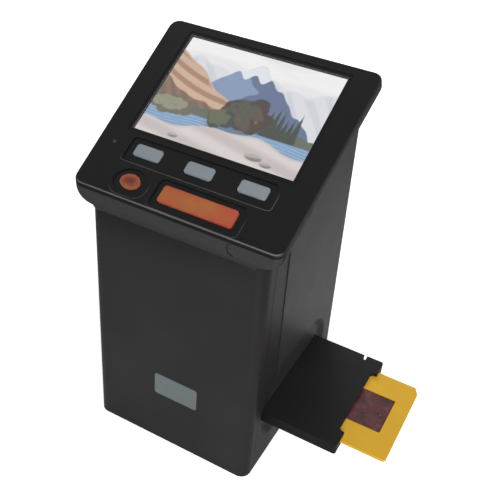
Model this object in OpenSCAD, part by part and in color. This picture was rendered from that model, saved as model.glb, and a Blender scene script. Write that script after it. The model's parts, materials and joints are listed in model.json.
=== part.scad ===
// Desktop film and slide scanner.
// A tapered tower stands on four rubber feet. Its sloped head carries a
// display, three soft keys, an oval home key and a long capture key. A slide
// holder runs in from the right through slots in the side walls, over a back
// light and under a lens, and slides are fed through it end to end.
// Millimetres, +Z up, feet on Z = 0, the head's keys face -Y.

/* [Tower] */
// Width of the tower at its foot
base_w = 85.4; // [84:0.2:92]
// Distance from the front wall to the slide holder
holder_front = 16.1; // [14.5:0.1:20]
// Distance from the slide holder to the back wall, at the tower's foot
holder_back = 18.9; // [15.5:0.1:24]
// Gap under the tower, stood on its feet
foot_stand = 1.0; // [0.6:0.1:1.6]
// Draft of the side walls, degrees
side_draft = 0.4; // [0:0.1:0.6]
// Draft of the front wall, degrees
front_draft = 1.0; // [0:0.1:1.5]
// Draft of the back wall, degrees
back_draft = 2.5; // [0.5:0.05:2.8]
// Radius of the tower's upright edges
corner_r = 5; // [4:0.5:8]
// Thickness of the housing's walls
wall = 2.2; // [1.6:0.1:2.6]
// Distance from the front wall to the seam of the front housing, at its foot
split_y = 7; // [5.5:0.5:9]
// Backward lean of that seam, degrees
split_lean = 2.2; // [0:0.1:3]
// Width of the seams between the housings
seam_gap = 0.3; // [0.1:0.05:0.5]

/* [Head] */
// Slope of the top plate, degrees
tilt = 29.5; // [27:0.5:32]
// Border of the top plate beside the screen
side_border = 12.1; // [10.5:0.1:15]
// Border of the top plate above the screen
top_border = 6.1; // [5:0.1:8]
// How much wider the top plate is at its back edge than at its front edge
head_spread = 5; // [0:0.5:6]
// Height of the top plate's front edge
head_front_z = 135.5; // [130:0.5:145]
// Height of the head's front lip, measured upright
lip_h = 12.4; // [11:0.2:14]
// Upright part of the front lip, above its rounded lower edge
lip_straight = 6.2; // [4:0.2:7]
// Height of the side lips at their front end
side_lip_h = 8.6; // [8.6:0.2:11]
// Upright part of the side lips at their front end, above their flare
side_straight = 3.4; // [3:0.2:4]
// How much taller the side lips are at their back end
lip_rise = 2.4; // [2:0.2:4]
// Overhang of the head over the front wall
front_overhang = 2.5; // [1.5:0.1:4]
// Thickness of the top plate
plate_t = 2.4; // [2.2:0.1:3]
// Corner radius of the top plate
head_r = 4.5; // [2:0.5:6]
// Thickness of the plate's brim, which covers the lip
brim_t = 1.2; // [1:0.1:1.5]
// Chamfer along the top plate's edge
plate_chamfer = 0.6; // [0.2:0.1:0.8]
// Shadow gap under the brim
shadow_gap = 0.25; // [0.15:0.05:0.4]

/* [Display] */
// Width of the visible screen
screen_w = 75; // [67:0.5:84]
// Height of the visible screen, up the slope
screen_h = 53; // [48:0.5:58]
// Lower edge of the screen above the plate's front edge
screen_v = 31.9; // [31.5:0.1:33]
// Thickness of the screen's clear cover
window_t = 1.1; // [0.8:0.1:1.2]
// Depth of the clear cover below the plate's surface
window_drop = 0.15; // [0.05:0.05:0.3]
// Thickness of the display panel
panel_t = 2.8; // [2.5:0.1:3]

/* [Keys] */
// Width of a soft key
soft_w = 12.6; // [10:0.2:14]
// Height of a soft key, up the slope
soft_h = 5.8; // [5:0.1:6.4]
// Distance between neighbouring soft keys
soft_pitch = 24.2; // [20:0.2:25]
// Centre of the soft keys above the plate's front edge
soft_v = 22.9; // [22.5:0.1:23.5]
// Depth of the recessed strips and pockets round the keys
pocket_d = 0.5; // [0.4:0.1:1]
// Width of the home key
home_w = 9.2; // [8:0.2:10]
// Height of the home key, up the slope
home_h = 6.8; // [6:0.2:7.4]
// Centre of the home key, left of the middle
home_u = 24.1; // [23:0.1:25]
// Width of the capture key
capture_w = 33.8; // [30:0.2:35]
// Height of the capture key, up the slope
capture_h = 7.9; // [7:0.1:8.4]
// Centre of the capture key, right of the middle
capture_u = 7.5; // [6:0.1:8]
// Centre line of the home and capture keys above the plate's front edge
lower_v = 8.2; // [7.8:0.1:8.6]
// Travel of every key
key_travel = 0.6; // [0.3:0.1:0.8]
// Gap between a key and the hole that it moves in
key_gap = 0.2; // [0.12:0.02:0.3]

/* [Slide holder] */
// Width of the slide holder, front to back
tray_w = 61.6; // [59:0.2:63]
// Thickness of the slide holder
tray_t = 5.8; // [5.2:0.1:6.4]
// Height of the holder's top face
tray_top = 32.1; // [30:0.1:36]
// Right end of the holder, from the tower's middle
tray_right = 78.3; // [70:0.1:90]
// Left end of the holder, from the tower's middle
tray_left = 38; // [36:0.2:39]
// Running gap round the holder in its channel
tray_gap = 0.3; // [0.2:0.05:0.45]
// Running gap round a slide in the holder
slide_gap = 0.2; // [0.12:0.02:0.3]
// Side of a slide mount
slide_w = 50; // [49.8:0.1:50.8]
// Thickness of a slide mount
slide_t = 1.5; // [1.2:0.1:1.9]
// Length of slide that sticks out of the holder
slide_out = 21.6; // [15:0.2:26]
// Width of the picture in the mount, along the holder
picture_w = 34.3; // [33:0.1:35]
// Height of the picture in the mount
picture_h = 22.9; // [22:0.1:24]

/* [Slots and inside] */
// Depth of the scooped recess round each slot
scoop_depth = 2.4; // [1.8:0.2:4]
// Outer radius of the scoop's round ends
scoop_r = 21; // [20.5:0.1:22]
// Width of the badge on the front wall
badge_w = 22.8; // [16:0.2:30]
// Height of the badge
badge_h = 12.6; // [8:0.2:16]
// Centre of the badge, right of the middle
badge_x = 2.6; // [-6:0.2:6]
// Height of the badge's centre
badge_z = 38.2; // [30:0.2:60]
// Thickness of the circuit boards
board_t = 1.6; // [1:0.1:1.8]
// Height of the lens's lower end over the holder's channel
lens_rise = 33; // [28:0.5:36]

/* [Hidden] */
$fn = 48;

black = [0.09, 0.09, 0.10];
orange = [0.88, 0.36, 0.18];
key_grey = [0.56, 0.62, 0.66];
board_green = [0.06, 0.28, 0.16];
metal = [0.72, 0.73, 0.75];

// The holder sets the tower's depth
tray_y = holder_front + tray_w / 2;
base_d = holder_front + tray_w + holder_back;

// The walls: each leans in by its draft from the foot up
foot_z = foot_stand;
function half_w(z) = base_w / 2 - tan(side_draft) * (z - foot_z);
function front_y(z) = tan(front_draft) * (z - foot_z);
function back_y(z) = base_d - tan(back_draft) * (z - foot_z);

// The screen and its borders set the top plate's size
head_w = screen_w + 2 * side_border;
head_l = screen_v + screen_h + top_border;

// The top plate's own frame: u to the right, v up the slope, n out of it
neck_z = head_front_z - lip_h;
head_front_y = front_y(neck_z) - front_overhang;
lap_places = [for (i = [0 : 2]) neck_z - 11 - 26 * i];
neck_n = -lip_h * cos(tilt);
side_neck_n = -side_lip_h * cos(tilt);
function head_half(v) = head_w / 2 + head_spread / 2 * (v / head_l - 0.5);
function slope_y(v, n) = head_front_y + v * cos(tilt) - n * sin(tilt);
function slope_z(v, n) = head_front_z + v * sin(tilt) + n * cos(tilt);

// The model's origin: the middle of its outline on the floor
slide_right = tray_right + slide_out;
origin_x = (slide_right - head_half(head_l - head_r)) / 2;
origin_y = (base_d + head_front_y) / 2;

// The plate's rim: its set-back over the shadow gap, and the tongue inside the lip
gap_inset = 0.8;
tongue_gap = 0.25;
hook_low_n = -4.4;
lip_tuck = 1.2;
lip_step = 0.5;

// Thin curved groove in the front lip, and the small dip over it in the plate
groove_u = 28.1;
groove_drop = 4.2;
groove_r = 2.9;
groove_w = 0.5;
dip_u = 30.4;
dip_v = 2;
dip_w = 2.4;
dip_h = 0.9;
dip_depth = 0.3;

// Grip relief of the side walls, behind the seam
relief_front = 12;
relief_back = 23.4;
relief_depth = 0.35;

// Screen and the stack behind it
window_border = 1.6;
screen_mid_v = screen_v + screen_h / 2;
window_seat = window_drop + window_t + 0.05;
panel_w = screen_w + 5;
panel_h = screen_h + 4;
panel_n = -plate_t - 0.05;
frame_t = 0.6;
frame_n = panel_n - panel_t - 0.05;
frame_edge = panel_w / 2 + 0.05;
ear_n = -plate_t - 0.8;
frame_screw_v = [screen_v + 4, screen_v + screen_h - 6];
frame_screw_u = panel_w / 2 + 3.2;
frame_ear_r = 2.4;

// Keys: cap, flange under the plate, stem, and the switch on the key board
flange_t = 1.0;
flange_lip = 0.9;
flange_n = -plate_t - 0.06;
stem_r = 1.6;
switch_h = 1.8;
plunger_h = 0.7;
key_board_n = -9.4;
key_board_v = [2.6, 27.6];
key_board_u = 38.4;
key_screw_u = key_board_u - 3.2;
stem_end_n = key_board_n + switch_h + plunger_h + key_travel + 0.1;
soft_u = [-soft_pitch, 0.3, soft_pitch + 0.6];
key_places = [[soft_u[0], soft_v], [soft_u[1], soft_v], [soft_u[2], soft_v],
              [-home_u, lower_v], [capture_u, lower_v]];
indicator_u = -41;
indicator_r = 0.8;
key_screw_places = [for (u = [-key_screw_u, key_screw_u], v = [5, 25.2]) [u, v]];

// Slide holder and what it runs in
tray_bottom = tray_top - tray_t;
slide_mid_z = tray_bottom + 2 + slide_gap + slide_t / 2;
tray_split_z = slide_mid_z;
slide_lane = slide_w + 2 * slide_gap + 0.2;
window_w = 38;
window_h = 26;
gate_t = 2;
gate_rail = 2.2;
gate_z = tray_bottom - tray_gap;
gate_top_z = tray_top + tray_gap;
gate_w = tray_w + 2 * tray_gap + 2 * gate_rail;
slot_h = tray_t + 2 * tray_gap + 0.3;
slot_w = tray_w + 2 * tray_gap + 0.3;
slot_mid_z = (tray_top + tray_bottom) / 2;
notch_pitch = 38;
notch_x = tray_right - 9.6;
notch_w = 1.6;
notch_d = 3.2;
detent_x = notch_x - notch_pitch;

// Scoops round the slots
scoop_z = slot_mid_z + 2.2;
scoop_slope = 4.8;
scoop_flat = scoop_r - scoop_slope;
scoop_half = tray_w / 2 - scoop_flat + 0.8;
scoop_steps = 8;
pan_t = wall * 0.9;
gate_half_x = half_w(scoop_z) - scoop_depth - pan_t - 0.3;

// Base
cover_z = foot_z + 0.2;
cover_t = 2.4;
cover_pad_h = 4;
base_screw_x = 28;
boss_r = 3.5;
base_screw_places = [[-base_screw_x, wall + boss_r - 0.3], [base_screw_x, wall + boss_r - 0.3],
                     [-base_screw_x, base_d - wall - boss_r], [base_screw_x, base_d - wall - boss_r]];
foot_r = 5;
foot_sink = 0.5;
foot_places = [[-31, 16], [31, 16], [-31, base_d - 17], [31, base_d - 17]];

// Back light
box_w = 60;
box_d = 54;
box_wall = 1.6;
box_z = cover_z + cover_t + 0.05;
box_top = gate_z - gate_t - 0.05;
led_z = box_z + box_wall + 0.05;
diffuser_t = 1.8;

// Optics
tunnel_z = gate_top_z + gate_t + 0.05;
tunnel_w = 48;
tunnel_d = 38;
tunnel_wall = 1.8;
lens_z = gate_top_z + gate_t + lens_rise;
lens_r = 8;
lens_h = 20;
focus = 10;
lens_clear = 0.05;
sensor_z = lens_z + lens_h + focus;
sensor_size = 40;
post_r = 2.6;
post_off = sensor_size / 2 - 3.2;

// Main board, upright in front of the back wall
board_back_y = base_d - 11.4;
board_left = 37.4;
board_right = 30;
board_low = 44;
board_high = 118;
board_screw_l = back_y(board_high - 4) - wall - board_back_y + board_t - 0.4;
board_screw_places = [[-board_left + 4, board_low + 4], [board_right - 4, board_low + 4],
                      [-board_left + 4, board_high - 4], [board_right - 4, board_high - 4]];
usb_x = 16;
usb_w = 9;
usb_h = 3.3;
port_z = 55;
hdmi_x = -6;
hdmi_w = 15;
hdmi_h = 5.9;
port_clear = 0.25;
card_z = 78;
card_w = 28;
card_t = 2.8;
card_len = 29;
power_x = 18;
power_z = 106;
power_r = 3.5;
power_switch_h = 2.4;

// ---------- outlines and lofts ----------

// Outline of a rounded rectangle, anticlockwise
function rounded(x0, x1, y0, y1, r, steps = 8) =
    [for (c = [[x1 - r, y1 - r, 0], [x0 + r, y1 - r, 90],
               [x0 + r, y0 + r, 180], [x1 - r, y0 + r, 270]])
        for (i = [0 : steps])
            let (a = c[2] + 90 * i / steps)
            [c[0] + r * cos(a), c[1] + r * sin(a)]];

// Solid through a stack of outlines that all have the same number of points
module loft(rings) {
    n = len(rings[0]);
    last = len(rings) - 1;
    sides = [for (j = [0 : last - 1]) for (i = [0 : n - 1])
        let (a = j * n + i, b = j * n + (i + 1) % n)
        each [[a, a + n, b + n], [a, b + n, b]]];
    polyhedron(
        points = [for (ring = rings) each ring],
        faces = concat([[for (i = [0 : n - 1]) i]], sides,
                       [[for (i = [n - 1 : -1 : 0]) last * n + i]]));
}

module box(x0, x1, y0, y1, z0, z1) {
    translate([x0, y0, z0]) cube([x1 - x0, y1 - y0, z1 - z0]);
}

// Flat rounded plate, z0 to z1
module plate(x0, x1, y0, y1, z0, z1, r) {
    translate([0, 0, z0]) linear_extrude(z1 - z0) polygon(rounded(x0, x1, y0, y1, r));
}

// Moves a shape drawn in the top plate's frame to its place on the slope
module on_slope() {
    translate([0, head_front_y, head_front_z]) rotate([tilt, 0, 0]) children();
}

module placed() {
    translate([-origin_x, -origin_y, 0]) children();
}

function ellipse(w, h, steps = 48) =
    [for (i = [0 : steps - 1]) [w / 2 * cos(360 * i / steps), h / 2 * sin(360 * i / steps)]];

// ---------- housing ----------

// Outline of the tower at a height, set in by g
function tower_ring(z, g) =
    [for (p = rounded(-half_w(z) + g, half_w(z) - g, front_y(z) + g, back_y(z) - g,
                      max(corner_r - g, 1)))
        [p[0], p[1], z]];

// The tower up to a plane parallel to the slope, set in by g
module tower_form(g, low, top_n) {
    intersection() {
        loft([tower_ring(low, g), tower_ring(slope_z(head_l, 0) + 20, g)]);
        on_slope() box(-head_w, head_w, -200, head_l - g, -400, top_n);
    }
}

// How far a lip has turned in at a drop: 0 on its upright part, 1 at its lower end
function lip_turn(drop, straight, low) =
    drop <= straight ? 0
    : drop >= low ? 1
    : 1 - sqrt(1 - pow((drop - straight) / (low - straight), 2));

// Outline (u, v) of the head at a drop below the plate's face, set in by g; below the side
// lips it is tucked behind the side walls
function head_outline(drop, g) =
    let (front = lip_turn(drop, lip_straight, lip_h - g),
         inset = g * (1 - front) + front_overhang * front,
         points = rounded(-head_w / 2, head_w / 2, inset / cos(tilt) - drop * sin(tilt),
                          head_l - g, max(head_r - g, 0.8)))
    [for (p = points)
        let (z = slope_z(p[1], -drop * cos(tilt)),
             back = p[1] / head_l,
             low = side_lip_h + lip_rise * back - g,
             side = lip_turn(drop, side_straight + lip_rise / 2 * back, low),
             tuck = drop > low ? g + lip_tuck : 0,
             half = (head_half(p[1]) - g) * (1 - side) + half_w(z) * side - tuck)
        [p[0] * half / (head_w / 2), p[1]]];

function head_ring(drop, g) =
    let (n = -drop * cos(tilt))
    [for (p = head_outline(drop, g)) [p[0], slope_y(p[1], n), slope_z(p[1], n)]];

// The head's lip with its rounded lower edge, set in by g, up to top_n
module head_form(g, top_n) {
    loft(concat(
        [for (drop = [lip_h - g : -lip_step : side_straight - lip_step]) head_ring(drop, g)],
        [head_ring(-top_n / cos(tilt), g)]));
}

module housing_shell() {
    difference() {
        union() {
            tower_form(0, foot_z, side_neck_n + 1);
            head_form(0, -brim_t - shadow_gap - 0.02);
        }
        tower_form(wall, foot_z - 1, side_neck_n + wall * cos(tilt) + 0.2);
        head_form(wall, 1);
    }
}

// Everything in front of the seam, moved back by an offset
module seam_side(offset_y) {
    translate([0, split_y + offset_y, foot_z]) rotate([-split_lean, 0, 0])
        box(-head_w, head_w, -100, 0, -60, 300);
}

// Screw boss of the housings over the base cover
module base_boss(place) {
    z0 = cover_z + cover_pad_h + 0.05;
    translate([place[0], place[1], z0]) difference() {
        cylinder(r = boss_r, h = 11);
        translate([0, 0, -1]) cylinder(r = 1.15, h = 10);
    }
}

// Tabs on the front housing that lap behind the side walls
module lap_tabs() {
    for (z = lap_places, side = [-1, 1]) {
        edge = half_w(z) - wall;
        seam = split_y + tan(split_lean) * (z - foot_z);
        mirror([side < 0 ? 1 : 0, 0, 0]) {
            box(edge - 2, edge + 0.6, seam - 4, seam - 0.4, z - 4, z + 4);
            box(edge - 2, edge - 0.3, seam - 4, seam + 4, z - 4, z + 4);
        }
    }
}

// Thin half-round groove in the front lip under the plate's edge
module lip_groove() {
    translate([groove_u, head_front_y, head_front_z - groove_drop]) rotate([90, 0, 0])
        linear_extrude(2 * groove_w, center = true) difference() {
            circle(groove_r + groove_w / 2);
            circle(groove_r - groove_w / 2);
            translate([0, -2 * groove_r]) square(4 * groove_r);
        }
}

module badge_pocket(grow) {
    translate([badge_x, front_y(badge_z), badge_z]) rotate([-front_draft, 0, 0])
        rotate([90, 0, 0])
            plate(-badge_w / 2 - grow, badge_w / 2 + grow, -badge_h / 2 - grow,
                  badge_h / 2 + grow, -0.7, 0.6, 1.2 + grow);
}

module front_housing() {
    color(black) placed() {
        difference() {
            union() {
                intersection() {
                    housing_shell();
                    seam_side(0);
                }
                lap_tabs();
            }
            badge_pocket(0.1);
            lip_groove();
        }
        intersection() {
            for (place = [base_screw_places[0], base_screw_places[1]]) base_boss(place);
            tower_form(wall - 0.5, foot_z - 1, neck_n);
        }
    }
}

// Side profile of the scoop: a soft S from the wall down to its flat floor
function scoop_curve(grow) =
    concat([[0, -scoop_depth - grow]],
           [for (i = [0 : scoop_steps])
               [scoop_flat + grow * 0.6 + scoop_slope * i / scoop_steps,
                -grow - scoop_depth * (1 + cos(180 * i / scoop_steps)) / 2]],
           [[scoop_r + grow * 0.6, 4], [0, 4]]);

// Oblong scoop drawn along +Z, two round ends and a straight middle
module scoop_body(grow) {
    for (end = [-1, 1]) translate([end * scoop_half, 0, 0])
        rotate_extrude($fn = 64) polygon(scoop_curve(grow));
    for (half = [0, 1]) mirror([0, half, 0]) rotate([90, 0, 90])
        translate([0, 0, -scoop_half]) linear_extrude(2 * scoop_half)
            polygon(scoop_curve(grow));
}

module on_side(side) {
    mirror([side < 0 ? 1 : 0, 0, 0])
        translate([half_w(scoop_z), tray_y, scoop_z]) rotate([0, 0, 90])
            rotate([90 - side_draft, 0, 0]) children();
}

// Shallow wedge off a side wall: flush at its front end, a crisp step at its back end
module side_relief(side) {
    intersection() {
        on_side(side) translate([-tray_y, head_front_z, 0]) rotate([90, 0, 0])
            linear_extrude(head_front_z) polygon([[relief_front, 0], [relief_back, -relief_depth],
                                                  [relief_back, 1], [relief_front, 1]]);
        on_slope() box(-head_w, head_w, -200, head_l, -400, side_neck_n - 0.4);
    }
}

module slots() {
    box(-base_w, base_w, tray_y - slot_w / 2, tray_y + slot_w / 2,
        slot_mid_z - slot_h / 2, slot_mid_z + slot_h / 2);
}

// Openings of the sockets and the power button
module port_holes() {
    back = back_y(port_z) - wall - 3;
    for (p = [[usb_x, usb_w, usb_h, 1.6], [hdmi_x, hdmi_w, hdmi_h, 0.8]])
        translate([p[0], back, port_z]) rotate([-90, 0, 0])
            plate(-p[1] / 2 - port_clear, p[1] / 2 + port_clear,
                  -p[2] / 2 - port_clear, p[2] / 2 + port_clear, 0, 12, p[3]);
    box(-base_w, -half_w(card_z) + wall + 1, board_back_y + 0.35, board_back_y + card_t - 0.05,
        card_z - card_w / 2 + 1.5, card_z + card_w / 2 - 1.5);
    translate([power_x, back_y(power_z) - wall - 2, power_z]) rotate([-90, 0, 0])
        cylinder(r = power_r + key_gap, h = 10);
}

module rear_housing() {
    boss_y = board_back_y + 0.05;
    color(black) placed() difference() {
        union() {
            difference() {
                housing_shell();
                seam_side(seam_gap);
            }
            intersection() {
                for (side = [-1, 1]) on_side(side) scoop_body(pan_t);
                tower_form(wall * 0.5, foot_z, neck_n);
            }
            intersection() {
                for (place = [base_screw_places[2], base_screw_places[3]]) base_boss(place);
                tower_form(wall - 0.5, foot_z - 1, neck_n);
            }
            for (place = board_screw_places) {
                depth = back_y(place[1]) - wall - boss_y + 0.6;
                translate([place[0], boss_y, place[1]]) rotate([-90, 0, 0]) difference() {
                    cylinder(r = 2.8, h = depth);
                    translate([0, 0, -1]) cylinder(r = 0.95, h = 7);
                }
            }
        }
        for (side = [-1, 1]) {
            on_side(side) scoop_body(0);
            side_relief(side);
        }
        slots();
        port_holes();
    }
}

module front_badge() {
    color([0.47, 0.52, 0.53]) placed()
        translate([badge_x, front_y(badge_z), badge_z]) rotate([-front_draft, 0, 0])
            rotate([90, 0, 0])
                plate(-badge_w / 2, badge_w / 2, -badge_h / 2, badge_h / 2, -0.65, 0.15, 1.2);
}

// ---------- base ----------

module base_cover() {
    edge = wall + 0.2;
    color(black) placed() difference() {
        union() {
            plate(-half_w(cover_z) + edge, half_w(cover_z) - edge, front_y(cover_z) + edge,
                  back_y(cover_z + cover_t) - edge, cover_z, cover_z + cover_t,
                  max(corner_r - edge, 1));
            for (place = base_screw_places) intersection() {
                translate([place[0], place[1], cover_z]) cylinder(r = 4.4, h = cover_pad_h);
                tower_form(edge, foot_z, neck_n);
            }
        }
        for (place = base_screw_places) translate([place[0], place[1], cover_z]) {
            translate([0, 0, -1]) cylinder(r = 1.6, h = cover_pad_h + 2);
            translate([0, 0, -1]) cylinder(r = 2.9, h = 3);
        }
        for (place = foot_places) translate([place[0], place[1], cover_z - 1])
            cylinder(r = foot_r + 0.1, h = 1 + foot_sink);
        for (i = [-3 : 3]) translate([i * 5, base_d / 2 - 36, cover_z - 1])
            plate(-0.9, 0.9, 0, 12, 0, cover_t + 2, 0.8);
    }
}

module rubber_feet() {
    top = cover_z + foot_sink - 0.02;
    color([0.05, 0.05, 0.05]) placed() for (place = foot_places)
        translate([place[0], place[1], 0]) rotate_extrude()
            polygon([[0, 0], [foot_r - 0.5, 0], [foot_r, 0.5], [foot_r, top], [0, top]]);
}

// Pan-head screw along +Z: head below, shank above its seat at z = 0
module screw(head_r, head_h, shank_r, length) {
    difference() {
        union() {
            translate([0, 0, -head_h]) cylinder(r = head_r, h = head_h);
            translate([0, 0, -0.5]) cylinder(r = shank_r, h = length + 0.5);
        }
        for (a = [0, 90]) rotate(a)
            box(-head_r * 0.6, head_r * 0.6, -head_r * 0.15, head_r * 0.15,
                -head_h - 1, -head_h * 0.45);
    }
}

module base_screws() {
    color(metal) placed() for (place = base_screw_places)
        translate([place[0], place[1], cover_z + 1.95]) screw(2.6, 1.6, 1.1, 8.5);
}

// ---------- head ----------

// Pocket outlines in the top plate
module soft_strip(d) {
    plate(-soft_pitch - soft_w / 2 - 3.3, soft_pitch + soft_w / 2 + 3.3, soft_v - 6.1,
          soft_v + 5.4, -d, 1, 2);
}

module home_ring(d) {
    translate([-home_u, lower_v, -d]) linear_extrude(d + 1)
        polygon(ellipse(home_w + 6.4, min(home_h + 5, 2 * lower_v - 3)));
}

module capture_pocket(d) {
    plate(capture_u - capture_w / 2 - 2.9, capture_u + capture_w / 2 + 2.9,
          lower_v - capture_h / 2 - 2.6, lower_v + capture_h / 2 + 2.4, -d, 1, 2.4);
}

// Outline of a key by its number, grown by g
module key_outline(i, g) {
    place = key_places[i];
    translate([place[0], place[1]])
        if (i < 3)
            polygon(rounded(-soft_w / 2 - g, soft_w / 2 + g, -soft_h / 2 - g,
                            soft_h / 2 + g, 1.3));
        else if (i == 3)
            polygon(ellipse(home_w + 2 * g, home_h + 2 * g));
        else
            polygon(rounded(-capture_w / 2 - g, capture_w / 2 + g, -capture_h / 2 - g,
                            capture_h / 2 + g, 1.3));
}

// The plate: a chamfered brim flush with the lip, its set-back rim over the shadow gap, and
// a tongue inside the lip
module plate_blank() {
    outline = function (g, n)
        [for (p = head_outline(-n / cos(tilt), g)) [p[0], p[1], n]];
    loft([outline(wall + tongue_gap, -plate_t), outline(wall + tongue_gap, -brim_t)]);
    loft([outline(gap_inset, -brim_t - shadow_gap), outline(gap_inset, -brim_t + 0.1)]);
    loft([outline(0, -brim_t), outline(0, -plate_chamfer), outline(plate_chamfer, 0)]);
}

module top_bezel() {
    hook_u = head_half(0) - wall - 1.8;
    color(black) placed() on_slope() difference() {
        union() {
            plate_blank();
            for (u = [-frame_screw_u, frame_screw_u], v = frame_screw_v)
                translate([u, v, ear_n + 0.02]) cylinder(r = 2.5, h = -ear_n - 1);
            for (place = key_screw_places)
                translate([place[0], place[1], key_board_n]) cylinder(r = 2.5, h = -key_board_n - 1);
            for (side = [-1, 1], v = [14, screen_mid_v])
                translate([side * hook_u, v, 0]) box(-0.8, 0.8, -4, 4, hook_low_n, -1);
        }
        plate(-screen_w / 2, screen_w / 2, screen_v, screen_v + screen_h, -10, 1, 0.6);
        plate(-screen_w / 2 - window_border, screen_w / 2 + window_border,
              screen_v - window_border, screen_v + screen_h + window_border,
              -window_seat, 1, 1.2);
        soft_strip(pocket_d);
        home_ring(pocket_d);
        capture_pocket(pocket_d);
        translate([dip_u, dip_v, -dip_depth]) linear_extrude(1) polygon(ellipse(dip_w, dip_h));
        for (i = [0 : 4]) translate([0, 0, -5]) linear_extrude(7) key_outline(i, key_gap);
        translate([indicator_u, soft_v, -5]) cylinder(r = indicator_r + 0.05, h = 7);
        for (u = [-frame_screw_u, frame_screw_u], v = frame_screw_v)
            translate([u, v, ear_n - 1]) cylinder(r = 0.85, h = -ear_n - 0.3);
        for (place = key_screw_places)
            translate([place[0], place[1], key_board_n - 1]) cylinder(r = 0.85, h = 7);
    }
}

module display_window() {
    edge = window_border - 0.1;
    color([0.12, 0.13, 0.15, 0.4]) placed() on_slope()
        plate(-screen_w / 2 - edge, screen_w / 2 + edge, screen_v - edge,
              screen_v + screen_h + edge, -window_drop - window_t, -window_drop, 1.1);
}

module display_panel() {
    color([0.75, 0.72, 0.66]) placed() on_slope()
        box(-panel_w / 2, panel_w / 2, screen_mid_v - panel_h / 2, screen_mid_v + panel_h / 2,
            panel_n - panel_t, panel_n);
}

// Sheet-metal pan behind the panel, with four ears bent up beside it for its screws
module display_frame() {
    back_n = frame_n - frame_t;
    outer = frame_edge + frame_t;
    color(metal) placed() on_slope() difference() {
        union() {
            box(-panel_w / 2, panel_w / 2, screen_mid_v - panel_h / 2, screen_mid_v + panel_h / 2,
                back_n, frame_n - 0.02);
            for (side = [0, 1], v = frame_screw_v) mirror([side, 0, 0]) translate([0, v, 0]) {
                box(panel_w / 2 - 1, outer, -frame_ear_r, frame_ear_r, back_n, frame_n - 0.02);
                box(frame_edge, outer, -frame_ear_r, frame_ear_r, back_n, ear_n);
                box(frame_edge, frame_screw_u, -frame_ear_r, frame_ear_r, ear_n - frame_t, ear_n);
                translate([frame_screw_u, 0, ear_n - frame_t])
                    cylinder(r = frame_ear_r, h = frame_t);
            }
        }
        for (u = [-frame_screw_u, frame_screw_u], v = frame_screw_v)
            translate([u, v, ear_n - 1]) cylinder(r = 1.1, h = 4);
        for (u = [-24, 0, 24]) translate([u, screen_mid_v, back_n - 1])
            plate(-8, 8, -14, 14, 0, 4, 3);
    }
}

module display_screws() {
    color(metal) placed() on_slope()
        for (u = [-frame_screw_u, frame_screw_u], v = frame_screw_v)
            translate([u, v, ear_n - frame_t - 0.03]) screw(1.9, 1.2, 0.8, 2.4);
}

module indicator_lens() {
    color([0.8, 0.85, 0.9]) placed() on_slope() translate([indicator_u, soft_v, 0])
        translate([0, 0, -plate_t]) cylinder(r = indicator_r, h = plate_t + 0.1);
}

// Flat flexible strip of width w through points of a side view (y, z)
module ribbon(points, thick, w, x) {
    rotate([90, 0, 90]) translate([0, 0, x - w / 2]) linear_extrude(w) union() {
        for (i = [0 : len(points) - 2]) {
            a = points[i];
            b = points[i + 1];
            span = norm(b - a);
            translate(a) rotate(atan2(b[1] - a[1], b[0] - a[0]))
                translate([0, -thick / 2]) square([span, thick]);
        }
        for (i = [1 : len(points) - 2]) translate(points[i]) circle(d = thick, $fn = 16);
    }
}

module key_board() {
    color(board_green) placed() on_slope() difference() {
        plate(-key_board_u, key_board_u, key_board_v[0], key_board_v[1],
              key_board_n - board_t - 0.02, key_board_n - 0.02, 1);
        for (place = key_screw_places)
            translate([place[0], place[1], key_board_n - board_t - 1]) cylinder(r = 1.1, h = 4);
    }
}

module key_switches() {
    color([0.12, 0.12, 0.13]) placed() on_slope() for (place = key_places)
        translate([place[0], place[1], key_board_n]) {
            box(-3, 3, -2.6, 2.6, 0, switch_h);
            cylinder(r = 1.4, h = switch_h + plunger_h);
        }
}

module key_board_screws() {
    color(metal) placed() on_slope() for (place = key_screw_places)
        translate([place[0], place[1], key_board_n - board_t - 0.04]) screw(1.9, 1.2, 0.8, 5.2);
}

// A key: cap with a chamfered rim, a flange that keeps it in, and its stem
module key(i, proud) {
    on_slope() {
        translate([0, 0, flange_n - 0.1]) linear_extrude(proud - flange_n - 0.2)
            key_outline(i, 0);
        translate([0, 0, proud - 0.35]) linear_extrude(0.35) key_outline(i, -0.3);
        translate([0, 0, flange_n - flange_t]) linear_extrude(flange_t)
            key_outline(i, flange_lip);
        translate([key_places[i][0], key_places[i][1], stem_end_n])
            cylinder(r = stem_r, h = flange_n - stem_end_n - 0.5);
    }
}

module key_left() {
    color(key_grey) placed() key(0, 0.1);
}

module key_centre() {
    color(key_grey) placed() key(1, 0.1);
}

module key_right() {
    color(key_grey) placed() key(2, 0.1);
}

module home_button() {
    color(orange) placed() key(3, 0.6);
}

module capture_button() {
    color(orange) placed() key(4, 0.5);
}

// ---------- back light ----------

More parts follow.
